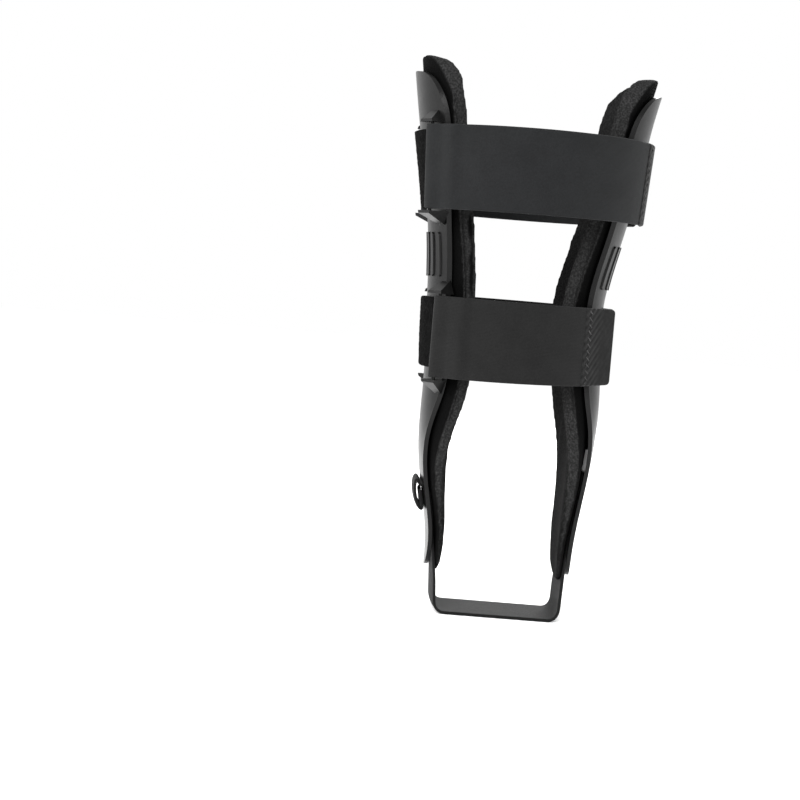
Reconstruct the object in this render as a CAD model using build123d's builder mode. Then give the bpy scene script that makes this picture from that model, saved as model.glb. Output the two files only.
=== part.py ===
from build123d import *
from collections import namedtuple
from math import asin, cos, degrees, radians, sin, sqrt
import os

# Stirrup ankle brace for a left ankle, in millimetres. The leg's axis is Z, the shin faces -Y,
# the inner (medial) side of the leg is -X and the outer (lateral) side is +X.
# The floor is Z = 0, under the middle of the heel strap.

MEDIAL = -1
LATERAL = 1

# One level of the brace. reach: how far the shell's outer face stands from the leg's axis.
# bend: radius of that face seen from above. pad_reach: half of the pad's front-to-back depth.
# stack: depth from the shell's outer face to the pad's inner face.
Level = namedtuple("Level", "height medial_reach lateral_reach bend pad_reach stack")
LEVELS = [
    Level(4, 37.0, 35.2, 130, 13, 5.4),
    Level(30, 38.7, 36.0, 130, 19, 6.0),
    Level(47, 40.4, 37.4, 125, 22.5, 7.4),
    Level(79, 46.0, 41.8, 105, 27.5, 10.6),
    Level(105, 46.6, 43.9, 58, 29.5, 12.3),
    Level(135, 47.2, 42.4, 47, 28.5, 12.5),
    Level(164, 48.3, 42.2, 45, 27.5, 12.5),
    Level(194, 50.6, 48.2, 50, 28, 12.5),
    Level(230, 56.2, 55.0, 57, 31, 12.5),
    Level(267, 62.5, 61.6, 63, 33.5, 12.5),
    Level(290, 66.2, 65.6, 67, 34.5, 12.5),
]

SHELL_THICKNESS = 2.0
RIB_HEIGHT = 0.8
RIB_WIDTH = 3.2
RIB_PITCH = 7.0
RIB_COUNT = 7
RIB_BOTTOM = 169
RIB_TOP = 191
LAYER_GAP = 0.06
FASTENER_SPACE = 2.0
BACKING_THICKNESS = 0.8
PATCH_THICKNESS = 0.9
PATCH_REACH = 19
HOOK_DOT_RADIUS = 11
HOOK_DOT_HEIGHTS = [98, 178, 244]

# Half outlines, each a list of (distance from the middle, height), from the top down
SHELL_OUTLINE = [
    (0, 270.5),
    (14, 270),
    (25, 267.5),
    (32, 260.5),
    (35, 249),
    (34, 235),
    (28.5, 200),
    (26.5, 168),
    (26.5, 135),
    (26.5, 110),
    (21.5, 88),
    (19, 60),
    (16.5, 36),
    (9, 24.5),
    (0, 22),
]
PAD_OUTLINE = [
    (0, 278.6),
    (16, 278),
    (25.5, 275),
    (31.5, 267.5),
    (36.5, 256),
    (40.5, 242),
    (42, 225),
    (42, 95),
    (36, 52),
    (23, 27),
    (10, 20),
    (0, 18.5),
]
LATERAL_TOP_DROP = 3

STRAP_THICKNESS = 1.6
TAB_HEM = 0.5
BAR_RADIUS = 1.0
BAR_CLEARANCE = 0.3
EYE_WALL = 1.3
EYE_RADIUS = BAR_RADIUS + BAR_CLEARANCE + EYE_WALL
BAR_OFFSET = EYE_RADIUS - STRAP_THICKNESS / 2 + 0.2
BRACKET_GAP = 1.0
BRACKET_BASE = 11
BRACKET_CREST = 5
BRACKET_SHIFT = 1.2
BRACKET_ROOT = 7
BRACKET_LIP = 1.4
BRACKET_EMBED = 1.2
BAR_OVERRUN = 3.6
JOINT_GAP = 0.3

# A leg strap is part of a cone about an upright axis at centre_x. bottom_radius and top_radius
# are those of the middle of its thickness. bar_angle: from the medial direction to its loop bars.
# band_reach: half of the length of its middle stretch on the medial shell.
Strap = namedtuple("Strap", "centre_x bottom top bottom_radius top_radius bar_angle band_reach")
TOP_STRAP = Strap(-0.3, 202.0, 243.2, 57.0, 59.6, 30.0, 25)
MID_STRAP = Strap(-2.2, 119.0, 159.7, 48.0, 48.0, 36.0, 23)
BAND_THICKNESS = 3.0
BAND_HEIGHTS = {"top": (203, 241.2), "mid": (123.5, 158.7)}
BAND_CHAMFER = 1.8

# Where each arm ends and its hook tab begins and ends, in degrees round from the lateral side,
# negative towards the shin
TOP_FRONT_ARM_END = -22
TOP_FRONT_TAB_END = 3
TOP_BACK_ARM_END = 37
TOP_BACK_TAB_END = 12
MID_FRONT_ARM_END = -48
MID_FRONT_TAB_LENGTH = 20
MID_BACK_ARM_END = 24
MID_BACK_TAB_END = -5
ARMS = [
    ("top_front", TOP_STRAP, "front", TOP_FRONT_ARM_END, TOP_FRONT_TAB_END),
    ("top_back", TOP_STRAP, "back", TOP_BACK_ARM_END, TOP_BACK_TAB_END),
    ("mid_front", MID_STRAP, "front", MID_FRONT_ARM_END, None),
    ("mid_back", MID_STRAP, "back", MID_BACK_ARM_END, MID_BACK_TAB_END),
]

HEEL_STRAP_THICKNESS = 1.5
HEEL_STRAP_REACH = 21
HEEL_STRAP_DEPTH = SHELL_THICKNESS + (FASTENER_SPACE - HEEL_STRAP_THICKNESS) / 2
HEEL_BEND_RADIUS = 8
HEEL_END_REACH = 13
HEEL_END_OUTLINE = [
    (HEEL_STRAP_REACH, HEEL_BEND_RADIUS + JOINT_GAP),
    (HEEL_STRAP_REACH, 22),
    (HEEL_END_REACH, 44),
]
LATERAL_END_TOP = 76
SLOT_REACH = 14.5
SLOT_BOTTOM = 60.5
SLOT_TOP = 65.5
FOLD_BOTTOM = 50.5
FOLD_TOP = 67.5
FOLD_HEIGHT = 4.4
FOLD_CLEARANCE = 0.6

SIDE_SPAN = 12
CUT_DEPTH = 100


def level_at(height):
    """The brace's measures at any height, in line between the two nearest levels."""
    for low, high in zip(LEVELS, LEVELS[1:]):
        if height <= high.height:
            share = (height - low.height) / (high.height - low.height)
            return Level(*[a + share * (b - a) for a, b in zip(low, high)])
    return LEVELS[-1]


def reach_of(level, side):
    """How far the shell's outer face stands from the leg's axis on one side."""
    return level.medial_reach if side == MEDIAL else level.lateral_reach


def pad_angle(level):
    """Half of the angle that the pad spans, about the centre of its bend."""
    return degrees(asin(level.pad_reach / (level.bend - 8)))


def layer(side, outer_depth, inner_depth, spare_angle=0):
    """A layer that follows the shell, between two depths below its outer face.

    inner_depth None means the pad's inner face."""
    with BuildPart() as made:
        for level in LEVELS:
            centre = (side * (reach_of(level, side) - level.bend), 0)
            deep = level.stack if inner_depth is None else inner_depth
            half = pad_angle(level) + spare_angle
            start = (0 if side == LATERAL else 180) - half
            with BuildSketch(Plane.XY.offset(level.height)):
                with BuildLine():
                    outer = CenterArc(centre, level.bend - outer_depth, start, 2 * half)
                    inner = CenterArc(centre, level.bend - deep, start, 2 * half)
                    Line(outer @ 0, inner @ 0)
                    Line(outer @ 1, inner @ 1)
                make_face()
        loft()
    return made.part


def side_view(side, half_outline, drop=0):
    """A block with a closed smooth outline, seen from the side, from half of the outline."""
    top = half_outline[0][1]
    right = [(y, z - drop * max(0, z - 200) / (top - 200)) for y, z in half_outline]
    left = [(-y, z) for y, z in right[-2:0:-1]]
    with BuildPart() as made:
        with BuildSketch(Plane.YZ):
            with BuildLine():
                Spline(*right, *left, periodic=True)
            make_face()
        extrude(amount=side * CUT_DEPTH)
    return made.part


def panel(side, reach, bottom, top, corner):
    """A block that is a rectangle with round corners, seen from the side."""
    with BuildPart() as made:
        with BuildSketch(Plane.YZ):
            with Locations((0, (bottom + top) / 2)):
                RectangleRounded(2 * reach, top - bottom, corner)
        extrude(amount=side * CUT_DEPTH)
    return made.part


def radius_at(strap, height):
    """Radius of the middle of a strap's thickness at a height."""
    share = (height - strap.bottom) / (strap.top - strap.bottom)
    return strap.bottom_radius + share * (strap.top_radius - strap.bottom_radius)


def ring_direction(angle):
    """The direction at an angle round the leg from the lateral side."""
    return Vector(cos(radians(angle)), sin(radians(angle)), 0)


def ring_point(strap, angle, height, outward):
    """A point beside a strap's middle surface, outward from it by the stated distance."""
    axis_point = Vector(strap.centre_x, 0, height)
    return axis_point + ring_direction(angle) * (radius_at(strap, height) + outward)


def generator(strap, angle, outward):
    """The direction up along a strap's cone at an angle."""
    low = ring_point(strap, angle, strap.bottom, outward)
    high = ring_point(strap, angle, strap.top, outward)
    return (high - low).normalized()


def bar_angle(strap, place):
    """Where a strap's front or back bar stands, in degrees round from the lateral side."""
    return 180 + strap.bar_angle if place == "front" else 180 - strap.bar_angle


def bar_plane(strap, angle):
    """A plane square to a strap's bar, at the bar's middle."""
    origin = ring_point(strap, angle, (strap.bottom + strap.top) / 2, BAR_OFFSET)
    return Plane(origin=origin, z_dir=generator(strap, angle, BAR_OFFSET))


def radial_plane(strap, angle):
    """A plane through the strap's axis, with x outward at an angle and y up."""
    outward = ring_direction(angle)
    return Plane(origin=(strap.centre_x, 0, 0), x_dir=outward, z_dir=outward.cross(Vector(0, 0, 1)))


def strap_arc(strap, start, end, hem=0):
    """A stretch of a strap between two angles, in degrees round from the lateral side."""
    half = STRAP_THICKNESS / 2
    with BuildPart() as made:
        with BuildSketch(radial_plane(strap, start)):
            with BuildLine():
                Polyline(
                    (strap.bottom_radius - half, strap.bottom),
                    (strap.bottom_radius + half + hem, strap.bottom),
                    (strap.top_radius + half + hem, strap.top),
                    (strap.top_radius - half, strap.top),
                    close=True,
                )
            make_face()
        turn = 1 if end > start else -1
        revolve(axis=Axis((strap.centre_x, 0, 0), (0, 0, turn)), revolution_arc=abs(end - start))
    return made.part


def bar_rod(strap, angle, radius, length):
    """A rod along a strap's bar."""
    with BuildPart() as made:
        with BuildSketch(bar_plane(strap, angle)):
            Circle(radius)
        extrude(amount=length / 2, both=True)
    return made.part


def surface_distance(strap, angle, height):
    """How far the medial shell's outer face stands from a strap's axis, at an angle."""
    level = level_at(height)
    offset = level.bend - level.medial_reach - strap.centre_x
    along = cos(radians(angle)) * offset
    return along + sqrt(along**2 - offset**2 + level.bend**2)


def bracket(strap, angle, height, rise):
    """One end of a loop: it stands out from the shell, holds the bar and slopes back like a roof."""
    root = height + rise * BRACKET_ROOT
    outer = radius_at(strap, height) + BAR_OFFSET + EYE_RADIUS
    with BuildPart() as made:
        with BuildSketch(radial_plane(strap, angle)):
            with BuildLine():
                Polyline(
                    (surface_distance(strap, angle, height) - BRACKET_EMBED, height),
                    (outer, height),
                    (outer, height + rise * BRACKET_LIP),
                    (surface_distance(strap, angle, root) - BRACKET_EMBED, root),
                    close=True,
                )
            make_face()
        extrude(amount=BRACKET_BASE, both=True)
        middle = BRACKET_SHIFT if angle < 180 else -BRACKET_SHIFT
        facing = Plane(
            origin=(strap.centre_x, 0, 0),
            x_dir=ring_direction(angle + 90),
            z_dir=ring_direction(angle),
        )
        with BuildSketch(facing):
            with BuildLine():
                Polyline(
                    (middle - BRACKET_BASE / 2, height),
                    (middle + BRACKET_BASE / 2, height),
                    (middle + BRACKET_CREST / 2, root),
                    (middle - BRACKET_CREST / 2, root),
                    close=True,
                )
            make_face()
        extrude(amount=outer, mode=Mode.INTERSECT)
    return made.part


def ribs(side):
    """The shell's ribs, in its narrow stretch between the leg straps."""
    with BuildPart() as made:
        with BuildSketch(Plane.YZ):
            with Locations((0, (RIB_BOTTOM + RIB_TOP) / 2)):
                with GridLocations(RIB_PITCH, 0, RIB_COUNT, 1):
                    SlotOverall(RIB_TOP - RIB_BOTTOM, RIB_WIDTH, rotation=90)
        extrude(amount=side * CUT_DEPTH)
        add(layer(side, -RIB_HEIGHT, SHELL_THICKNESS / 2, SIDE_SPAN), mode=Mode.INTERSECT)
    return made.part


def flat_tab(strap, angle, length):
    """A hook tab that stands straight off the strap, from an angle round from the lateral side."""
    origin = ring_point(strap, angle, strap.bottom, STRAP_THICKNESS / 2 + TAB_HEM)
    with BuildPart() as made:
        with BuildSketch(Plane(origin=origin, x_dir=ring_direction(angle + 90), z_dir=(0, 0, 1))):
            with Locations((JOINT_GAP, 0)):
                Rectangle(length, STRAP_THICKNESS + TAB_HEM, align=(Align.MIN, Align.MIN))
        extrude(amount=strap.top - strap.bottom)
    return made.part


def strap_end(side, top):
    """A heel strap's end inside a shell, wide at the floor and narrow at its top."""
    right = [*HEEL_END_OUTLINE, (HEEL_END_REACH, top)]
    with BuildPart() as made:
        add(layer(side, HEEL_STRAP_DEPTH, HEEL_STRAP_DEPTH + HEEL_STRAP_THICKNESS, SIDE_SPAN))
        with BuildSketch(Plane.YZ):
            with BuildLine():
                Polyline(*right, *[(-y, z) for y, z in reversed(right)], close=True)
            make_face()
        extrude(amount=side * CUT_DEPTH, mode=Mode.INTERSECT)
    return made.part


def save(part, name):
    part.label = name
    export_step(part, f"parts/{name}.step")


os.makedirs("parts", exist_ok=True)

# Shells
with BuildPart() as medial_shell:
    add(layer(MEDIAL, 0, SHELL_THICKNESS, SIDE_SPAN))
    add(side_view(MEDIAL, SHELL_OUTLINE), mode=Mode.INTERSECT)
    add(panel(MEDIAL, SLOT_REACH, SLOT_BOTTOM, SLOT_TOP, 2), mode=Mode.SUBTRACT)
    add(ribs(MEDIAL))
    for strap in (TOP_STRAP, MID_STRAP):
        for place in ("front", "back"):
            angle = bar_angle(strap, place)
            add(bar_rod(strap, angle, BAR_RADIUS, strap.top - strap.bottom + BAR_OVERRUN))
            add(bracket(strap, angle, strap.top + BRACKET_GAP, 1))
            add(bracket(strap, angle, strap.bottom - BRACKET_GAP, -1))
save(medial_shell.part, "medial_shell")

with BuildPart() as lateral_shell:
    add(layer(LATERAL, 0, SHELL_THICKNESS, SIDE_SPAN))
    add(side_view(LATERAL, SHELL_OUTLINE, LATERAL_TOP_DROP), mode=Mode.INTERSECT)
    add(ribs(LATERAL))
save(lateral_shell.part, "lateral_shell")

# Pads: a foam core, its pile backing, and the hook dots that hold the backing to the shell
BACKING_DEPTH = SHELL_THICKNESS + FASTENER_SPACE
for side, word, drop in [(MEDIAL, "medial", 0), (LATERAL, "lateral", LATERAL_TOP_DROP)]:
    with BuildPart() as pad:
        add(layer(side, BACKING_DEPTH + BACKING_THICKNESS + LAYER_GAP, None))
        add(side_view(side, PAD_OUTLINE, drop), mode=Mode.INTERSECT)
    save(pad.part, f"{word}_pad")

    with BuildPart() as backing:
        add(layer(side, BACKING_DEPTH, BACKING_DEPTH + BACKING_THICKNESS))
        add(side_view(side, PAD_OUTLINE, drop), mode=Mode.INTERSECT)
    save(backing.part, f"{word}_pad_backing")

    with BuildPart() as dots:
        with BuildSketch(Plane.YZ):
            with Locations(*[(0, height) for height in HOOK_DOT_HEIGHTS]):
                Circle(HOOK_DOT_RADIUS)
        extrude(amount=side * CUT_DEPTH)
        dot_layer = layer(side, SHELL_THICKNESS + LAYER_GAP, BACKING_DEPTH - LAYER_GAP)
        add(dot_layer, mode=Mode.INTERSECT)
    save(dots.part, f"{word}_pad_hook_dots")

# Each leg strap's middle stretch on the medial shell, and its hook patch on the lateral shell
for strap, word in [(TOP_STRAP, "top"), (MID_STRAP, "mid")]:
    with BuildPart() as band:
        add(layer(MEDIAL, -BAND_THICKNESS, -LAYER_GAP, SIDE_SPAN))
        band_shape = panel(MEDIAL, strap.band_reach, *BAND_HEIGHTS[word], 2)
        add(band_shape, mode=Mode.INTERSECT)
    save(band.part, f"{word}_strap_band")

    with BuildPart() as patch:
        add(layer(LATERAL, -PATCH_THICKNESS, -LAYER_GAP, SIDE_SPAN))
        patch_shape = panel(LATERAL, PATCH_REACH, strap.bottom + 2, strap.top - 2, 3)
        add(patch_shape, mode=Mode.INTERSECT)
    save(patch.part, f"{word}_hook_patch")

# The leg straps' arms, each from its eye round to the lateral side, and their hook tabs
for word, strap, place, arm_end, tab_end in ARMS:
    root = bar_angle(strap, place)
    turn = 1 if place == "front" else -1
    far_end = arm_end + 360 if place == "front" else arm_end
    length = strap.top - strap.bottom
    with BuildPart() as arm:
        add(strap_arc(strap, root, far_end))
        add(bar_rod(strap, root, EYE_RADIUS, length))
        add(bar_rod(strap, root, EYE_RADIUS - EYE_WALL, 2 * length), mode=Mode.SUBTRACT)
    save(arm.part, f"{word}_strap")

    gap_angle = turn * degrees(JOINT_GAP / strap.bottom_radius)
    with BuildPart() as tab:
        if tab_end is None:
            add(flat_tab(strap, arm_end, MID_FRONT_TAB_LENGTH))
        else:
            add(strap_arc(strap, arm_end + gap_angle, tab_end, TAB_HEM))
    save(tab.part, f"{word}_hook_tab")

# Heel strap: the stretch under the heel, with its two bends up towards the shells
bend_level = level_at(HEEL_BEND_RADIUS)
medial_edge = HEEL_STRAP_DEPTH - reach_of(bend_level, MEDIAL)
lateral_edge = reach_of(bend_level, LATERAL) - HEEL_STRAP_DEPTH
medial_centre = (medial_edge + HEEL_BEND_RADIUS, HEEL_BEND_RADIUS)
lateral_centre = (lateral_edge - HEEL_BEND_RADIUS, HEEL_BEND_RADIUS)
inner_bend = HEEL_BEND_RADIUS - HEEL_STRAP_THICKNESS
with BuildPart() as heel_strap:
    with BuildSketch(Plane.XZ):
        with BuildLine():
            left = CenterArc(medial_centre, HEEL_BEND_RADIUS, 180, 90)
            left_in = CenterArc(medial_centre, inner_bend, 180, 90)
            right = CenterArc(lateral_centre, HEEL_BEND_RADIUS, 270, 90)
            right_in = CenterArc(lateral_centre, inner_bend, 270, 90)
            Line(left @ 1, right @ 0)
            Line(left_in @ 1, right_in @ 0)
            Line(left @ 0, left_in @ 0)
            Line(right @ 1, right_in @ 1)
        make_face()
    extrude(amount=HEEL_STRAP_REACH, both=True)
save(heel_strap.part, "heel_strap")

with BuildPart() as lateral_end:
    add(strap_end(LATERAL, LATERAL_END_TOP))
save(lateral_end.part, "heel_strap_lateral_end")

# The medial end goes out through the shell's slot and folds back on itself
slot_middle = (SLOT_BOTTOM + SLOT_TOP) / 2
inside = HEEL_STRAP_DEPTH + HEEL_STRAP_THICKNESS / 2 - reach_of(level_at(slot_middle), MEDIAL)
fold_low = -reach_of(level_at(FOLD_BOTTOM), MEDIAL) - FOLD_CLEARANCE
fold_high = -reach_of(level_at(FOLD_TOP), MEDIAL) - FOLD_CLEARANCE
fold_middle = ((fold_low + fold_high) / 2 - FOLD_HEIGHT, (FOLD_BOTTOM + FOLD_TOP) / 2)
with BuildPart() as medial_end:
    add(strap_end(MEDIAL, slot_middle))
    with BuildSketch(Plane.XZ):
        with BuildLine():
            seat = Line((fold_low, FOLD_BOTTOM), (fold_high, FOLD_TOP))
            ThreePointArc(seat @ 0, fold_middle, seat @ 1)
        make_face()
        with Locations(((inside + fold_high) / 2, slot_middle)):
            Rectangle(abs(inside - fold_high) + 1, HEEL_STRAP_THICKNESS)
    extrude(amount=HEEL_END_REACH, both=True)
save(medial_end.part, "heel_strap_medial_end")
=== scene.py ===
import math

import bmesh
import bpy
import numpy as np
from mathutils import Matrix, Vector, noise
from mathutils.bvhtree import BVHTree
from mathutils.kdtree import KDTree


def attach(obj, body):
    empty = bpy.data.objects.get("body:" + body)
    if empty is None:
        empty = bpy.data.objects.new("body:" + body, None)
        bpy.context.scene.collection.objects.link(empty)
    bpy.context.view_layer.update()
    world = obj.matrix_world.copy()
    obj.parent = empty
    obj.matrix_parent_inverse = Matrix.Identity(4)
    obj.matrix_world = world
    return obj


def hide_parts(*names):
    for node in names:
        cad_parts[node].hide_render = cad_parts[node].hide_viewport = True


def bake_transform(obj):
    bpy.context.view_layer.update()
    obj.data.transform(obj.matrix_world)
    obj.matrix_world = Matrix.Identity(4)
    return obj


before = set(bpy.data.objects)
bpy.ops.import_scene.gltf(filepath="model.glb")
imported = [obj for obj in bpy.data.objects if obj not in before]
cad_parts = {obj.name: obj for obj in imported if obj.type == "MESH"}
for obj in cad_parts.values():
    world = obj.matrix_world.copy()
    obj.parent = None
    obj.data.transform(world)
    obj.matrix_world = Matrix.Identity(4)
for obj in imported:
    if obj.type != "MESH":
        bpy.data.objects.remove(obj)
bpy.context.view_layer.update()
MM = 0.001

# ---------------------------------------------------------------- camera, light and floor

CAMERA_DISTANCE = 1.0
CAMERA_AZIMUTH = 4.6
CAMERA_HEIGHT = 0.17
CAMERA_YAW = 1.31
CAMERA_PITCH = -3.75
CAMERA_ROLL = 4.72
CAMERA_LENS = 88.05


def make_camera():
    """The photograph's view: from the front, a little to the medial side, rolled over."""
    turn = math.radians(CAMERA_AZIMUTH)
    yaw, pitch, roll = (math.radians(a) for a in (CAMERA_YAW, CAMERA_PITCH, CAMERA_ROLL))
    ahead = Vector((math.sin(yaw) * math.cos(pitch), math.cos(yaw) * math.cos(pitch), math.sin(pitch)))
    right = ahead.cross(Vector((0, 0, 1))).normalized()
    up = right.cross(ahead)
    rolled_right = math.cos(roll) * right + math.sin(roll) * up
    rolled_up = math.cos(roll) * up - math.sin(roll) * right
    camera = bpy.data.objects.new("camera", bpy.data.cameras.new("camera"))
    place = Vector((-math.sin(turn) * CAMERA_DISTANCE, -math.cos(turn) * CAMERA_DISTANCE, CAMERA_HEIGHT))
    axes = Matrix((rolled_right, rolled_up, -ahead)).transposed()
    camera.matrix_world = Matrix.Translation(place) @ axes.to_4x4()
    camera.data.lens = CAMERA_LENS
    camera.data.sensor_width = 36
    bpy.context.scene.collection.objects.link(camera)
    bpy.context.scene.camera = camera


def make_light(name, place, size, power):
    """A soft square light that points at the middle of the brace."""
    data = bpy.data.lights.new(name, "AREA")
    data.size = size
    data.energy = power
    light = bpy.data.objects.new(name, data)
    light.location = place
    aim = Vector((0, 0, 0.14)) - Vector(place)
    light.rotation_euler = aim.to_track_quat("-Z", "Y").to_euler()
    bpy.context.scene.collection.objects.link(light)


def make_stage():
    """A plain white floor under a plain white sky."""
    world = bpy.data.worlds.new("studio")
    world.use_nodes = True
    background = world.node_tree.nodes["Background"]
    background.inputs["Color"].default_value = (1, 1, 1, 1)
    background.inputs["Strength"].default_value = 1.0
    bpy.context.scene.world = world
    bpy.context.scene.view_settings.view_transform = "Standard"
    mesh = bpy.data.meshes.new("floor")
    reach = 4.0
    corners = [(-reach, -reach, 0), (reach, -reach, 0), (reach, reach, 0), (-reach, reach, 0)]
    mesh.from_pydata(corners, [], [(0, 1, 2, 3)])
    floor = bpy.data.objects.new("floor", mesh)
    bpy.context.scene.collection.objects.link(floor)
    floor.location.z = -0.0002
    material = bpy.data.materials.new("floor_white")
    material.use_nodes = True
    shader = material.node_tree.nodes["Principled BSDF"]
    shader.inputs["Base Color"].default_value = (0.99, 0.99, 0.99, 1)
    shader.inputs["Roughness"].default_value = 0.9
    mesh.materials.append(material)


make_camera()
make_stage()
make_light("key", (-0.5, -1.2, 0.9), 0.8, 36)
make_light("fill", (0.9, -1.0, 0.4), 0.6, 6)
make_light("side_left", (-1.1, 0.1, 0.4), 0.3, 5)
make_light("side_right", (1.1, 0.1, 0.4), 0.3, 2)
make_light("back", (0.3, 1.2, 0.7), 0.6, 12)

# ---------------------------------------------------------------- materials


class Shader:
    """A material's node tree, with short calls for the nodes that the fabrics and plastics share."""

    def __init__(self, name, roughness, sheen=0.0, coat=0.0, specular=0.5):
        self.material = bpy.data.materials.new(name)
        self.material.use_nodes = True
        self.tree = self.material.node_tree
        self.bsdf = self.tree.nodes["Principled BSDF"]
        self.bsdf.inputs["Roughness"].default_value = roughness
        self.bsdf.inputs["Sheen Weight"].default_value = sheen
        self.bsdf.inputs["Sheen Roughness"].default_value = 0.5
        self.bsdf.inputs["Coat Weight"].default_value = coat
        self.bsdf.inputs["Specular IOR Level"].default_value = specular
        self.place = self.node("ShaderNodeTexCoord")

    def node(self, kind, **values):
        made = self.tree.nodes.new(kind)
        for key, value in values.items():
            setattr(made, key, value)
        return made

    def link(self, source, target):
        self.tree.links.new(source, target)

    def scaled(self, space, scale):
        """Coordinates in one space, stretched by a factor along each axis."""
        mapping = self.node("ShaderNodeMapping")
        mapping.inputs["Scale"].default_value = scale
        self.link(self.place.outputs[space], mapping.inputs["Vector"])
        return mapping.outputs["Vector"]

    def noise(self, scale, detail=3.0, space="Object", stretch=(1, 1, 1)):
        made = self.node("ShaderNodeTexNoise")
        made.inputs["Scale"].default_value = scale
        made.inputs["Detail"].default_value = detail
        self.link(self.scaled(space, stretch), made.inputs["Vector"])
        return made.outputs["Fac"]

    def wave(self, scale, direction, space="UV", distortion=0.0):
        made = self.node("ShaderNodeTexWave", bands_direction=direction)
        made.inputs["Scale"].default_value = scale
        made.inputs["Distortion"].default_value = distortion
        self.link(self.scaled(space, (1, 1, 1)), made.inputs["Vector"])
        return made.outputs["Fac"]

    def math(self, operation, first, second):
        made = self.node("ShaderNodeMath", operation=operation)
        for socket, value in zip(made.inputs, (first, second)):
            if isinstance(value, (int, float)):
                socket.default_value = value
            else:
                self.link(value, socket)
        return made.outputs[0]

    def ramp(self, factor, stops):
        made = self.node("ShaderNodeValToRGB")
        ramp = made.color_ramp
        while len(ramp.elements) < len(stops):
            ramp.elements.new(0.5)
        for element, (position, colour) in zip(ramp.elements, stops):
            element.position = position
            element.color = (*colour, 1)
        self.link(factor, made.inputs["Fac"])
        return made.outputs["Color"]

    def mix(self, factor, first, second):
        made = self.node("ShaderNodeMix", data_type="RGBA")
        self.link(factor, made.inputs["Factor"])
        self.link(first, made.inputs[6])
        self.link(second, made.inputs[7])
        return made.outputs[2]

    def attribute(self, name):
        return self.node("ShaderNodeAttribute", attribute_name=name).outputs["Fac"]

    def colour(self, source):
        self.link(source, self.bsdf.inputs["Base Color"])

    def roughness(self, source, low, high):
        made = self.node("ShaderNodeMapRange")
        made.inputs["To Min"].default_value = low
        made.inputs["To Max"].default_value = high
        self.link(source, made.inputs["Value"])
        self.link(made.outputs["Result"], self.bsdf.inputs["Roughness"])

    def bump(self, height, distance, strength=1.0):
        made = self.node("ShaderNodeBump")
        made.inputs["Strength"].default_value = strength
        made.inputs["Distance"].default_value = distance
        self.link(height, made.inputs["Height"])
        if self.bsdf.inputs["Normal"].is_linked:
            self.link(self.bsdf.inputs["Normal"].links[0].from_socket, made.inputs["Normal"])
        self.link(made.outputs["Normal"], self.bsdf.inputs["Normal"])


def grey(level, blue=0.0):
    """A near-neutral colour from an sRGB level of 0 to 255, with a little blue added."""
    def linear(value):
        value = max(value, 0) / 255
        return value / 12.92 if value <= 0.04045 else ((value + 0.055) / 1.055) ** 2.4
    return (linear(level - blue), linear(level), linear(level + blue))


def plastic_material():
    """Moulded dark plastic: a faint flow pattern, an orange-peel skin and fine rubbed patches."""
    shader = Shader("moulded_plastic", 0.3, specular=0.16)
    flow = shader.noise(38, 4, stretch=(1, 1, 0.25))
    shader.colour(shader.ramp(flow, [(0.3, grey(4)), (0.7, grey(8))]))
    shader.roughness(shader.noise(160, 5), 0.24, 0.36)
    shader.bump(shader.noise(900, 2), 0.00006, 0.5)
    return shader.material


def foam_material():
    """The pad: mottled brushed foam on its cut edge; on its faces black loop pile, whose near-black colour
    is also painted shade for the shadow those faces lie in.
    """
    shader = Shader("pad_foam", 0.95, specular=0.04)
    blotch = shader.noise(1150, 8)
    speck = shader.noise(2200, 3)
    cut = shader.ramp(blotch, [(0.36, grey(20)), (0.5, grey(29)), (0.64, grey(41))])
    # The faces' colour: black loop pile, darkened further as painted shade for the shadow on them
    pile = shader.ramp(speck, [(0.35, grey(2)), (0.7, grey(5))])
    edge = shader.attribute("cut_edge")
    shader.colour(shader.mix(edge, pile, cut))
    shader.bump(speck, 0.0003, 0.6)
    shader.bump(blotch, 0.0003, 0.4)
    return shader.material


def webbing_material(name, level, blue, thread, depth, ribs=0.5):
    """Woven webbing: crossing threads along and across the strap, with a little colour variation."""
    shader = Shader(name, 0.8, sheen=0.04, specular=0.12)
    along = shader.wave(thread, "X", distortion=0.6)
    across = shader.wave(thread * ribs, "Y", distortion=0.6)
    weave = shader.math("MULTIPLY", along, across)
    broad = shader.math("MULTIPLY", shader.noise(90, 5), 0.5)
    speck = shader.math("MULTIPLY", shader.noise(1300, 3), 0.7)
    shade = shader.math("ADD", shader.math("MULTIPLY", weave, 0.3), shader.math("ADD", broad, speck))
    shader.colour(shader.ramp(shade, [(0.5, grey(level - 4, blue)), (0.95, grey(level + 5, blue))]))
    shader.bump(weave, depth, 0.6)
    shader.bump(shader.noise(1400, 2), 0.0001, 0.4)
    return shader.material


def hatch_material(name, level):
    """The hook side of a sewn tab: webbing with a moulded diagonal hatch."""
    shader = Shader(name, 0.78, sheen=0.04, specular=0.12)
    turned = shader.node("ShaderNodeMapping")
    turned.inputs["Rotation"].default_value = (0, 0, math.radians(38))
    shader.link(shader.place.outputs["UV"], turned.inputs["Vector"])
    made = shader.node("ShaderNodeTexWave", bands_direction="X")
    made.inputs["Scale"].default_value = 120
    shader.link(turned.outputs["Vector"], made.inputs["Vector"])
    split = shader.node("ShaderNodeSeparateXYZ")
    shader.link(shader.place.outputs["UV"], split.inputs["Vector"])
    fade = shader.node("ShaderNodeMapRange", interpolation_type="SMOOTHSTEP")
    for socket, value in (("From Min", 0.006), ("From Max", 0.014), ("To Min", 1), ("To Max", 0.1)):
        fade.inputs[socket].default_value = value
    shader.link(split.outputs["X"], fade.inputs["Value"])
    hatch = shader.math("MULTIPLY", made.outputs["Fac"], fade.outputs["Result"])
    shade = shader.math("ADD", shader.math("MULTIPLY", hatch, 0.5), shader.noise(300, 4))
    shader.colour(shader.ramp(shade, [(0.3, grey(level - 9)), (0.95, grey(level + 10))]))
    shader.bump(hatch, 0.0003, 0.8)
    return shader.material


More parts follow.
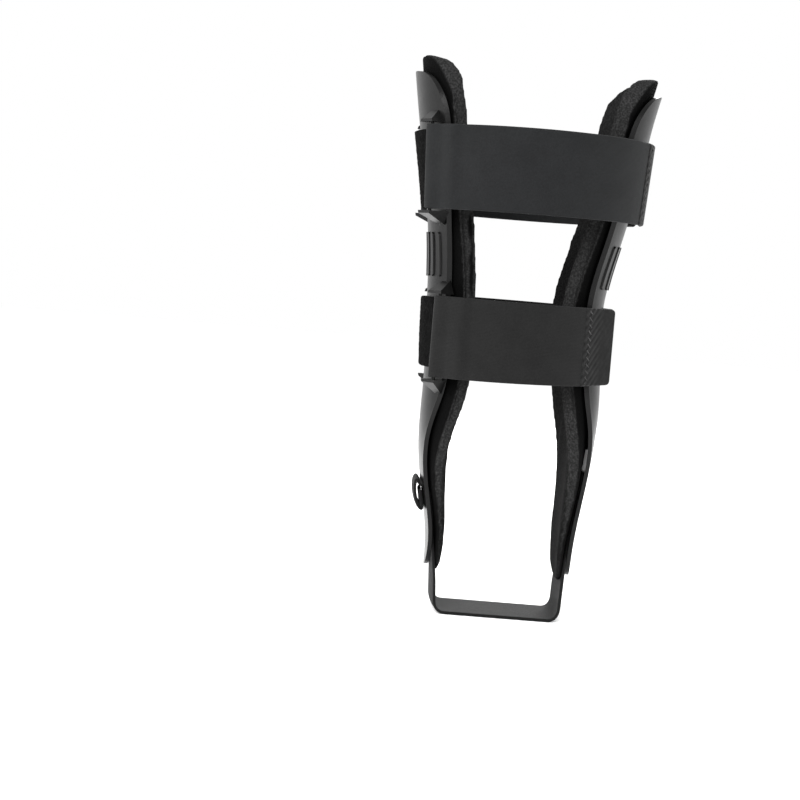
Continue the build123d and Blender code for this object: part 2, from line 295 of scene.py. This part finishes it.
def pile_material():
    """Rough black loop pile."""
    shader = Shader("loop_pile", 0.98, specular=0.04)
    loops = shader.noise(1100, 5)
    clump = shader.noise(260, 4)
    shade = shader.math("MULTIPLY", loops, clump)
    shader.colour(shader.ramp(shade, [(0.1, grey(2)), (0.42, grey(12))]))
    shader.bump(loops, 0.0007, 0.9)
    shader.bump(clump, 0.0008, 0.6)
    return shader.material


def hook_material():
    """Hook tape: rows of small stiff hooks."""
    shader = Shader("hook_tape", 0.6, specular=0.15)
    cells = shader.node("ShaderNodeTexVoronoi")
    cells.inputs["Scale"].default_value = 900
    cells.inputs["Randomness"].default_value = 0.35
    shader.link(shader.scaled("Object", (1, 1, 1)), cells.inputs["Vector"])
    shader.colour(shader.ramp(cells.outputs["Distance"], [(0.1, grey(16)), (0.6, grey(4))]))
    shader.bump(cells.outputs["Distance"], 0.0005, 0.8)
    return shader.material


def thread_material():
    """Twisted sewing thread."""
    shader = Shader("sewing_thread", 0.7, specular=0.2)
    shader.colour(shader.ramp(shader.noise(2500, 2), [(0.3, grey(38)), (0.7, grey(66))]))
    return shader.material


PLASTIC = plastic_material()
FOAM = foam_material()
TOP_WEBBING = webbing_material("top_webbing", 15, 1, 1100, 0.0001)
MID_WEBBING = webbing_material("mid_webbing", 13, 0, 900, 0.00015)
HEEL_WEBBING = webbing_material("heel_webbing", 9, 0, 800, 0.0002)
TAB_HATCH = hatch_material("tab_hatch", 11)
PILE = pile_material()
HOOK = hook_material()
THREAD = thread_material()

# ---------------------------------------------------------------- mesh helpers


def new_piece(name, mesh, material, body=None):
    """A smooth-shaded object in the scene, riding on a body."""
    piece = bpy.data.objects.new(name, mesh)
    bpy.context.scene.collection.objects.link(piece)
    for face in mesh.polygons:
        face.use_smooth = True
    mesh.materials.append(material)
    if body:
        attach(piece, body)
    return piece


def tube_mesh(name, rows, uvs):
    """A closed mesh from rows of points, each row a closed loop, with an end cap at each end.

    uvs holds one (along, across) pair in metres for each point. A row's second half mirrors its
    first, so an end cap is a strip of quads between the halves."""
    mesh = bmesh.new()
    layer = mesh.loops.layers.uv.new("UVMap")
    grid = [[mesh.verts.new(point) for point in row] for row in rows]
    place = {}
    for line, values in zip(grid, uvs):
        place.update(zip(line, values))
    count = len(rows[0])
    for here, there in zip(grid, grid[1:]):
        for i in range(count):
            j = (i + 1) % count
            mesh.faces.new((here[i], here[j], there[j], there[i]))
    for line in (grid[0], grid[-1]):
        for i in range(count // 2 - 1):
            mesh.faces.new((line[i], line[i + 1], line[count - 2 - i], line[count - 1 - i]))
    for face in mesh.faces:
        for loop in face.loops:
            loop[layer].uv = place[loop.vert]
    bmesh.ops.recalc_face_normals(mesh, faces=mesh.faces)
    data = bpy.data.meshes.new(name)
    mesh.to_mesh(data)
    mesh.free()
    return data


SELVEDGE_STEPS = 4


def strip_section(width, thickness, steps):
    """A strip's section with round edges, as (across, outward) pairs: outer side, then inner side."""
    half = thickness / 2
    side = []
    for i in range(SELVEDGE_STEPS):
        turn = math.pi / 2 * (i + 0.5) / SELVEDGE_STEPS
        side.append((half * (1 - math.cos(turn)), half * math.sin(turn)))
    flat = [(half + (width - thickness) * i / steps, half) for i in range(steps + 1)]
    outer = side + flat + [(width - across, out) for across, out in reversed(side)]
    return outer + [(across, -out) for across, out in reversed(outer)]


def strip_mesh(name, stations, width, thickness, steps=14, corner=0.0, ripple=0.0, joins=False):
    """A woven strip along stations, each a function that gives the point at (across, outward).

    corner rounds the far end's two corners. Both ends are rounded over their thickness, except
    that with joins the near end is square, to meet another strip."""
    middles = [station(width / 2, 0) for station in stations]
    along = [0.0]
    for here, there in zip(middles, middles[1:]):
        along.append(along[-1] + (there - here).length)
    half = thickness / 2
    rows, uvs = [], []
    for station, distance in zip(stations, along):
        to_end = along[-1] - distance
        near = to_end if joins else min(distance, to_end)
        thin = math.sqrt(max(0.03, 1 - (1 - near / half) ** 2)) if near < half else 1
        inset = corner - math.sqrt(corner**2 - (corner - to_end) ** 2) if to_end < corner else 0
        row, values = [], []
        for across, out in strip_section(width - 2 * inset, thickness, steps):
            across += inset
            wave = ripple * math.sin(distance * 190 + across * 260) * math.sin(distance * 71)
            row.append(station(across, out * thin + wave))
            values.append((distance, across + (0.5 if out < 0 else 0)))
        rows.append(row)
        uvs.append(values)
    return tube_mesh(name, rows, uvs)


def thread_mesh(name, paths, radius):
    """Thread tubes of six sides along paths of points."""
    mesh = bmesh.new()
    for path in paths:
        rings = []
        for i, point in enumerate(path):
            ahead = (path[min(i + 1, len(path) - 1)] - path[max(i - 1, 0)]).normalized()
            side = ahead.orthogonal().normalized()
            lift = ahead.cross(side)
            turns = [math.tau * k / 6 for k in range(6)]
            ring = [point + radius * (math.cos(t) * side + math.sin(t) * lift) for t in turns]
            rings.append([mesh.verts.new(place) for place in ring])
        for here, there in zip(rings, rings[1:]):
            shift = min(range(6), key=lambda k: (there[k].co - here[0].co).length)
            for i in range(6):
                j = (i + 1) % 6
                a, b = there[(i + shift) % 6], there[(j + shift) % 6]
                mesh.faces.new((here[i], here[j], b, a))
        mesh.faces.new(rings[0])
        mesh.faces.new(rings[-1])
    bmesh.ops.recalc_face_normals(mesh, faces=mesh.faces)
    data = bpy.data.meshes.new(name)
    mesh.to_mesh(data)
    mesh.free()
    return data


# ---------------------------------------------------------------- leg straps

STRAP_THICKNESS = 1.6 * MM
HEM = 0.5 * MM
BAR_OFFSET = 2.0 * MM
EYE_LAYER = 1.85 * MM
DOUBLE_RISE = 1.65 * MM
JOINT_GAP = 0.3 * MM
ARM_RIPPLE = 0.06 * MM


class Ring:
    """The cone that one leg strap lies on, from part.py's own measures."""

    def __init__(self, centre_x, bottom, top, bottom_radius, top_radius, bar_angle, taper):
        self.centre_x = centre_x * MM
        self.bottom = bottom * MM
        self.top = top * MM
        self.bottom_radius = bottom_radius * MM
        self.top_radius = top_radius * MM
        self.bar_angle = bar_angle
        self.taper = taper * MM
        self.width = self.top - self.bottom
        self.radius = (self.bottom_radius + self.top_radius) / 2

    def tapered(self, across, share):
        """Where a point lies across the strap, which narrows from its bars round to its tab."""
        return across + self.taper * share * (1 - across / self.width)

    def radius_at(self, across):
        share = across / self.width
        return self.bottom_radius + share * (self.top_radius - self.bottom_radius)

    def point(self, angle, across, outward):
        """A point at an angle in degrees round from the lateral side."""
        turn = math.radians(angle)
        across = self.tapered(across, 0.5 - 0.5 * math.cos(turn - math.pi))
        reach = self.radius_at(across) + outward
        return Vector(
            (self.centre_x + reach * math.cos(turn), reach * math.sin(turn), self.bottom + across)
        )

    def station(self, angle, lift):
        """A strip's station on the ring, lifted outward from the middle of its thickness."""
        return lambda across, out: self.point(angle, across, lift + out)

    def wrap_station(self, angle, way, turn):
        """A strip's station round a bar: turn is 0 outside the bar and 180 inside it."""
        phase = math.radians(turn)
        radial = Vector((math.cos(math.radians(angle)), math.sin(math.radians(angle)), 0))
        beyond = way * Vector((-radial.y, radial.x, 0))
        normal = math.cos(phase) * radial + math.sin(phase) * beyond
        return lambda across, out: (
            self.point(angle, across, BAR_OFFSET) + (EYE_LAYER + out) * normal
        )


TOP_RING = Ring(-0.3, 202.0, 243.2, 57.0, 59.6, 30.0, 0.6)
MID_RING = Ring(-2.2, 119.0, 159.7, 48.0, 48.0, 36.0, 2.2)


def smooth_step(value):
    value = min(max(value, 0), 1)
    return value * value * (3 - 2 * value)


def arm_stations(ring, place, far_end, return_length):
    """From an arm's far end round to its bar, round the bar and back under itself."""
    bar = 180 + ring.bar_angle if place == "front" else 180 - ring.bar_angle
    way = -1 if place == "front" else 1
    step = 2.0
    count = max(2, int(abs(far_end - bar) / step))
    angles = [far_end + (bar - far_end) * i / count for i in range(count + 1)]
    end_run = [0.25, 0.5, 0.75, 1.1, 1.6]
    first = math.copysign(math.degrees(MM / ring.radius), bar - far_end)
    angles = [far_end] + [far_end + first * d for d in end_run] + angles[2:]
    stations = []
    for angle in angles:
        left = abs(bar - angle)
        doubled = DOUBLE_RISE * smooth_step((return_length + 7 - left) / 5)
        raised = (BAR_OFFSET + EYE_LAYER - DOUBLE_RISE) * smooth_step((9 - left) / 8.5)
        stations.append(ring.station(angle, doubled + raised))
    stations += [ring.wrap_station(bar, way, turn) for turn in range(12, 180, 12)]
    count = int(return_length / 2)
    back = [bar + (far_end - bar) / abs(far_end - bar) * return_length * i / count for i in range(count + 1)]
    stations += [ring.station(angle, 0) for angle in back]
    return stations


def make_arm(word, ring, place, far_end, return_length, material):
    """One arm of a leg strap: a webbing strip that goes round its bar and lies doubled behind itself."""
    name = f"{word}_{place}_strap"
    stations = arm_stations(ring, place, far_end, return_length)
    mesh = strip_mesh(name, stations, ring.width, STRAP_THICKNESS, ripple=ARM_RIPPLE)
    piece = new_piece(f"{name}_webbing", mesh, material, name)
    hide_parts(name)


TAB_ROOT = 1.8 * MM
TAB_LIFT = HEM / 2 + 0.05 * MM
TAB_CORNER = 2.4 * MM
TAB_BEND = (-0.6 * MM, 0.7 * MM)


def tab_run(total):
    """Distances along a tab, close together at its two ends, from just inside its arm's end."""
    fine = [0, 0.3, 0.6, 0.9, 1.2, 1.5, 1.8, 2.1, 2.4, 2.7, 3.1, 3.6]
    length = total + TAB_ROOT
    body = list(np.arange(4.6, length / MM - 4.5, 1.2))
    run = [d * MM for d in fine + body] + [length - d * MM for d in reversed(fine)]
    return [JOINT_GAP - TAB_ROOT + d for d in run]


def finish_tab(word, place, stations, width, face, material):
    """The tab's mesh, which starts just inside its arm's end."""
    name = f"{word}_{place}_hook_tab"
    mesh = strip_mesh(name, stations, width, STRAP_THICKNESS + HEM, corner=TAB_CORNER)
    piece = new_piece(f"{name}_webbing", mesh, material, None)
    start, end = (face(distance, width / 2) for distance in TAB_BEND)
    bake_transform(piece)
    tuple(start)
    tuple(end)
    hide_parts(name)


def make_tab(word, ring, place, tab_start, tab_end, material):
    """A sewn hook tab that carries on round the ring from its arm's end."""
    way = 1 if tab_end > tab_start else -1
    total = math.radians(abs(tab_end - tab_start)) * ring.radius - JOINT_GAP

    def face(distance, across):
        angle = tab_start + way * math.degrees(distance / ring.radius)
        return ring.point(angle, across, TAB_LIFT + (STRAP_THICKNESS + HEM) / 2)

    stations = [
        ring.station(tab_start + way * math.degrees(d / ring.radius), TAB_LIFT) for d in tab_run(total)
    ]
    finish_tab(word, place, stations, ring.width, face, material)
    return f"{word}_{place}_hook_tab", face


FLAT_TAB_LENGTH = 20 * MM
FLAT_TAB_ANGLE = -48


def make_flat_tab(material):
    """The mid front strap's hook tab, which stands straight off the ring."""
    angle = math.radians(FLAT_TAB_ANGLE)
    radial = Vector((math.cos(angle), math.sin(angle), 0))
    along = Vector((-radial.y, radial.x, 0))
    middle = Vector((MID_RING.centre_x, 0, 0)) + radial * (MID_RING.radius + TAB_LIFT)

    def station(distance):
        def place(across, out):
            height = MID_RING.bottom + MID_RING.tapered(across, 0.85 + 0.5 * distance / FLAT_TAB_LENGTH)
            return middle + along * distance + radial * out + Vector((0, 0, height))

        return place

    def face(distance, across):
        return station(distance)(across, (STRAP_THICKNESS + HEM) / 2)

    stations = [station(d) for d in tab_run(FLAT_TAB_LENGTH)]
    finish_tab("mid", "front", stations, MID_RING.width, face, material)
    return "mid_front_hook_tab", face


STITCH_PITCH = 1.7 * MM
STITCH_SWING = 0.95 * MM
STITCH_MARGIN = 1.5 * MM
STITCH_LINE = 1.9 * MM
THREAD_RADIUS = 0.33 * MM


def make_stitches(tab, width):
    """Zigzag stitching across a tab's root."""
    name, face = tab
    count = int((width - 2 * STITCH_MARGIN) / STITCH_PITCH)
    zigzag = []
    for i in range(count + 1):
        across = STITCH_MARGIN + (width - 2 * STITCH_MARGIN) * i / count
        swing = STITCH_SWING if i % 2 else -STITCH_SWING
        zigzag.append(face(STITCH_LINE + swing, across))
    mesh = thread_mesh(name, [zigzag], THREAD_RADIUS)
    new_piece(f"{name}_stitches", mesh, THREAD, name)


make_arm("top", TOP_RING, "front", 338, 13, TOP_WEBBING)
make_arm("top", TOP_RING, "back", 37, 13, TOP_WEBBING)
make_arm("mid", MID_RING, "front", 312, 16, MID_WEBBING)
make_arm("mid", MID_RING, "back", 24, 16, MID_WEBBING)
TABS = [
    (make_tab("top", TOP_RING, "front", -22, 3, TAB_HATCH), TOP_RING),
    (make_tab("top", TOP_RING, "back", 37, 12, TAB_HATCH), TOP_RING),
    (make_tab("mid", MID_RING, "back", 24, -5, TAB_HATCH), MID_RING),
    (make_flat_tab(TAB_HATCH), MID_RING),
]
for tab, ring in TABS:
    make_stitches(tab, ring.width)

# ---------------------------------------------------------------- pads


def joined_copy(name, nodes):
    """One mesh made of the named CAD nodes' own meshes."""
    mesh = bmesh.new()
    for node in nodes:
        mesh.from_mesh(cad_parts[node].data)
    data = bpy.data.meshes.new(name)
    mesh.to_mesh(data)
    mesh.free()
    return data


def apply_modifiers(piece):
    """The piece's mesh as its modifiers leave it, with no modifier left on it."""
    graph = bpy.context.evaluated_depsgraph_get()
    mesh = bpy.data.meshes.new_from_object(piece.evaluated_get(graph))
    piece.modifiers.clear()
    piece.data = mesh


def remesh(piece, voxel):
    """Rebuilds a piece's surface from voxels of one size."""
    change = piece.modifiers.new("remesh", "REMESH")
    change.mode = "VOXEL"
    change.voxel_size = voxel
    apply_modifiers(piece)


def coordinates(mesh):
    """The mesh's points as an array of rows."""
    values = np.empty(len(mesh.vertices) * 3)
    mesh.vertices.foreach_get("co", values)
    return values.reshape(-1, 3)


def normals(mesh):
    """The mesh's point normals as an array of rows."""
    values = np.empty(len(mesh.vertices) * 3)
    mesh.vertices.foreach_get("normal", values)
    return values.reshape(-1, 3)


def write_coordinates(mesh, points):
    mesh.vertices.foreach_set("co", points.ravel())
    mesh.update()


PAD_VOXEL = 1.0 * MM
PAD_SMOOTHING = 8
# A ray that runs further than this inside the pad started on its cut edge
PAD_LAYER = 10.5 * MM
RAY_START = 0.3 * MM
LEG_SIDE_SHADE = 0.6
EDGE_SPREAD = 3
PAD_PUFF = 1.2 * MM
PAD_OUTER_PUFF = 0.15 * MM
SWELL_VOXEL = 3.0 * MM
SWELL_FRAMES = 15
SWELL_PRESSURE = 4
SWELL_NEIGHBOURS = 6
OUTWARD_FACE = 0.2


def outward_share(points, facing):
    """How far each point's normal faces away from the leg: 1 outward, -1 inward."""
    length = np.linalg.norm(points[:, :2], axis=1)
    away = points[:, :2] / length[:, None]
    return (facing[:, :2] * away).sum(axis=1)


def cloth_move(mesh):
    """Runs a short pressure simulation on a coarse copy of a mesh: its points and their moves."""
    copy = bpy.data.objects.new("swell", mesh.copy())
    bpy.context.scene.collection.objects.link(copy)
    remesh(copy, SWELL_VOXEL)
    before = coordinates(copy.data)
    cloth = copy.modifiers.new("cloth", "CLOTH")
    cloth.settings.use_pressure = True
    cloth.settings.uniform_pressure_force = SWELL_PRESSURE
    cloth.settings.tension_stiffness = 30
    cloth.settings.bending_stiffness = 4
    cloth.settings.effector_weights.gravity = 0
    cloth.collision_settings.use_collision = False
    scene = bpy.context.scene
    for step in range(1, SWELL_FRAMES + 1):
        scene.frame_set(step)
    apply_modifiers(copy)
    scene.frame_set(1)
    after = coordinates(copy.data)
    bpy.data.objects.remove(copy)
    return before, after - before


def puff(piece):
    """Swells a foam piece a little by a coarse copy's cloth simulation, and caps each point's move."""
    coarse, coarse_move = cloth_move(piece.data)
    tree = KDTree(len(coarse))
    for i, point in enumerate(coarse):
        tree.insert(point, i)
    tree.balance()
    before = coordinates(piece.data)
    move = np.empty_like(before)
    for i, point in enumerate(before):
        found = tree.find_n(point, SWELL_NEIGHBOURS)
        weights = np.array([1 / (distance + 0.2 * MM) for _, _, distance in found])
        near = coarse_move[[index for _, index, _ in found]]
        move[i] = (near * weights[:, None]).sum(axis=0) / weights.sum()
    facing = outward_share(before, normals(piece.data))
    length = np.linalg.norm(move, axis=1)
    cap = np.where(facing > OUTWARD_FACE, PAD_OUTER_PUFF, PAD_PUFF)
    share = np.minimum(1, cap / np.maximum(length, 1e-9))
    write_coordinates(piece.data, before + move * share[:, None])


def mark_cut_edge(piece):
    """Marks where the pad's cut edge and its leg side show, for the foam's two colours."""
    points, facing = coordinates(piece.data), normals(piece.data)
    tree = BVHTree.FromPolygons(
        [Vector(p) for p in points], [list(f.vertices) for f in piece.data.polygons]
    )
    outward = outward_share(points, facing)
    values = np.zeros(len(points))
    for i, (point, normal) in enumerate(zip(points, facing)):
        inward = -Vector(normal)
        hit = tree.ray_cast(Vector(point) + inward * RAY_START, inward)
        if hit[3] is None or hit[3] > PAD_LAYER:
            values[i] = 1
        elif outward[i] < 0:
            values[i] = LEG_SIDE_SHADE
    ends = np.array([edge.vertices[:] for edge in piece.data.edges])
    for _ in range(EDGE_SPREAD):
        total, count = values.copy(), np.ones(len(values))
        for a, b in ((0, 1), (1, 0)):
            np.add.at(total, ends[:, a], values[ends[:, b]])
            np.add.at(count, ends[:, a], 1)
        values = total / count
    # Points left at 0 take the faces' near-black colour: loop pile with painted shade
    edge = piece.data.attributes.new("cut_edge", "FLOAT", "POINT")
    edge.data.foreach_set("value", values)


def make_pad(side):
    """One foam pad, made from the CAD pad and its backing joined together."""
    name = f"{side}_pad"
    data = joined_copy(name, [name, f"{name}_backing"])
    piece = new_piece(f"{name}_foam", data, FOAM, f"{side}_shell")
    remesh(piece, PAD_VOXEL)
    puff(piece)
    rounding = piece.modifiers.new("rounding", "SMOOTH")
    rounding.factor = 0.5
    rounding.iterations = PAD_SMOOTHING
    finer = piece.modifiers.new("finer", "SUBSURF")
    finer.levels = finer.render_levels = 1
    apply_modifiers(piece)
    mark_cut_edge(piece)
    for face in piece.data.polygons:
        face.use_smooth = True
    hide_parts(name, f"{name}_backing")


make_pad("medial")
make_pad("lateral")

# ---------------------------------------------------------------- pile bands


BAND_VOXEL = 0.8 * MM
BAND_SMOOTHING = 5
BAND_ROUGHNESS = 0.28 * MM
BAND_EDGE_ROUGHNESS = 0.08 * MM


def make_band(word):
    """A band of loop pile: the CAD band with soft corners and an uneven brushed face."""
    name = f"{word}_strap_band"
    piece = new_piece(f"{name}_pile", joined_copy(name, [name]), PILE, "medial_shell")
    remesh(piece, BAND_VOXEL)
    rounding = piece.modifiers.new("rounding", "SMOOTH")
    rounding.factor = 0.5
    rounding.iterations = BAND_SMOOTHING
    apply_modifiers(piece)
    points, facing = coordinates(piece.data), normals(piece.data)
    outer = outward_share(points, facing) > 0.3
    rough = np.array([noise.noise(Vector(p) * 700) for p in points])
    rough += 0.6 * np.array([noise.noise(Vector(p) * 1600) for p in points])
    lift = np.where(outer, BAND_ROUGHNESS * rough, BAND_EDGE_ROUGHNESS * rough)
    write_coordinates(piece.data, points + facing * lift[:, None])
    for face in piece.data.polygons:
        face.use_smooth = True
    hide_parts(name)


make_band("top")
make_band("mid")

# ---------------------------------------------------------------- heel strap

HEEL_THICKNESS = 1.5 * MM
HEEL_REACH = 21 * MM
HEEL_BEND = 8 * MM
# A second row of points this close to the join keeps the end cap from tilting the shading
JOIN_EDGE = 0.05 * MM
# The shells' lower levels, from part.py: height, medial reach, lateral reach, bend radius
LOW_LEVELS = [(4, 37.0, 35.2, 130), (30, 38.7, 36.0, 130), (47, 40.4, 37.4, 125), (79, 46.0, 41.8, 105)]
HEEL_DEPTH = 3.0 * MM


def heel_surface(side, height, y, depth):
    """The point at a depth below a shell's outer face, at a height and a distance y forward."""
    levels = LOW_LEVELS
    low, high = next((a, b) for a, b in zip(levels, levels[1:]) if height <= b[0] * MM)
    share = max(0, (height / MM - low[0]) / (high[0] - low[0]))
    medial, lateral, bend = (a + share * (b - a) for a, b in zip(low[1:], high[1:]))
    reach = (medial if side < 0 else lateral) * MM
    bend *= MM
    x = (reach - bend) + math.sqrt((bend - depth) ** 2 - y**2)
    return Vector((side * x, y, height))


def heel_half_width(height):
    """Half of the heel strap's width: wide under the heel, narrow inside the shells."""
    return (21 - 8 * smooth_step((height / MM - 14) / 26)) * MM


def heel_station(side, height, depth):
    """A strip's station up inside a shell, with its thickness pointing sideways."""
    half = heel_half_width(height)

    def place(across, out):
        y = (across / (2 * HEEL_REACH) - 0.5) * 2 * half
        return heel_surface(side, height, y, depth) + out * Vector((side, 0, 0))

    return place


def floor_station(x, height, turn, side):
    """A strip's station under the heel or in a bend: turn is 0 flat and 90 upright."""
    phase = math.radians(turn)
    outward = Vector((side * math.sin(phase), 0, -math.cos(phase)))
    share = smooth_step(turn / 90)
    middle = heel_surface(side, HEEL_BEND, 0, HEEL_DEPTH).x

    def place(across, out):
        y = across - HEEL_REACH
        drop = middle - heel_surface(side, HEEL_BEND, y, HEEL_DEPTH).x
        return Vector((x - share * drop, y, height)) + outward * out

    return place


def heel_stations(side):
    """From the middle of the floor run to the top of the bend."""
    half = HEEL_THICKNESS / 2
    edge = abs(heel_surface(side, HEEL_BEND, 0, HEEL_DEPTH - half).x)
    centre = edge - HEEL_BEND
    stations = [floor_station(side * centre * i / 12, half, 0, side) for i in range(12)]
    stations.insert(1, floor_station(side * JOIN_EDGE, half, 0, side))
    for turn in range(0, 91, 10):
        phase = math.radians(turn)
        reach = HEEL_BEND - half
        x = centre + reach * math.sin(phase)
        stations.append(floor_station(side * x, HEEL_BEND - reach * math.cos(phase), turn, side))
    return stations


def make_heel_half(side, word, more, replaced):
    """Half of the heel strap, from the middle of the stretch under the heel up inside its shell."""
    stations = heel_stations(side) + more
    mesh = strip_mesh(f"heel_{word}", stations, 2 * HEEL_REACH, HEEL_THICKNESS, steps=20, joins=True)
    piece = new_piece(f"heel_strap_{word}_webbing", mesh, HEEL_WEBBING, None)
    top = heel_surface(side, HEEL_BEND, 0, HEEL_DEPTH)
    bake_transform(piece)
    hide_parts(*replaced)


def climb(side, low, high):
    """Stations straight up inside a shell, between two heights in millimetres."""
    count = max(2, int((high - low) / 2))
    return [
        heel_station(side, (low + (high - low) * i / count) * MM, HEEL_DEPTH) for i in range(count + 1)
    ]


def fold_stations():
    """The medial end: out through the slot, then folded into a D that lies on the shell."""
    side = -1
    route = [
        (3.0, 57.5), (2.7, 60.0), (1.6, 62.4), (0.0, 63.2), (-1.5, 64.0), (-2.6, 65.9), (-3.6, 64.8),
        (-4.2, 61.8), (-4.3, 58.6), (-3.9, 55.0), (-3.0, 52.2), (-1.9, 51.4), (-1.45, 53.4), (-1.45, 58.0),
        (-1.5, 61.0),
    ]
    points = [Vector((depth * MM, height * MM)) for depth, height in route]
    fine = []
    padded = [points[0]] + points + [points[-1]]
    for a, b, c, d in zip(padded, padded[1:], padded[2:], padded[3:]):
        for i in range(4):
            t = i / 4
            bend = (2 * a - 5 * b + 4 * c - d) * t**2 + (3 * b - a - 3 * c + d) * t**3
            fine.append(0.5 * (2 * b + (c - a) * t + bend))
    fine.append(points[-1])
    stations = []
    half = heel_half_width(63 * MM)
    for i, point in enumerate(fine):
        ahead = fine[min(i + 1, len(fine) - 1)] - fine[max(i - 1, 0)]
        ahead.normalize()
        normal = Vector((ahead.y, -ahead.x))

        def place(across, out, point=point, normal=normal):
            y = (across / (2 * HEEL_REACH) - 0.5) * 2 * half
            spot = point - normal * out
            return heel_surface(side, spot.y, y, spot.x)

        stations.append(place)
    return stations


make_heel_half(-1, "medial", climb(-1, 10, 55) + fold_stations(), ["heel_strap_medial_end"])
make_heel_half(1, "lateral", climb(1, 10, 76), ["heel_strap", "heel_strap_lateral_end"])

# ---------------------------------------------------------------- CAD nodes that stay


def dress(material, *nodes):
    """Gives CAD nodes that stay in view a better material."""
    for node in nodes:
        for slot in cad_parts[node].material_slots:
            slot.material = material


dress(PLASTIC, "medial_shell", "lateral_shell")
dress(HOOK, "medial_pad_hook_dots", "lateral_pad_hook_dots", "top_hook_patch", "mid_hook_patch")
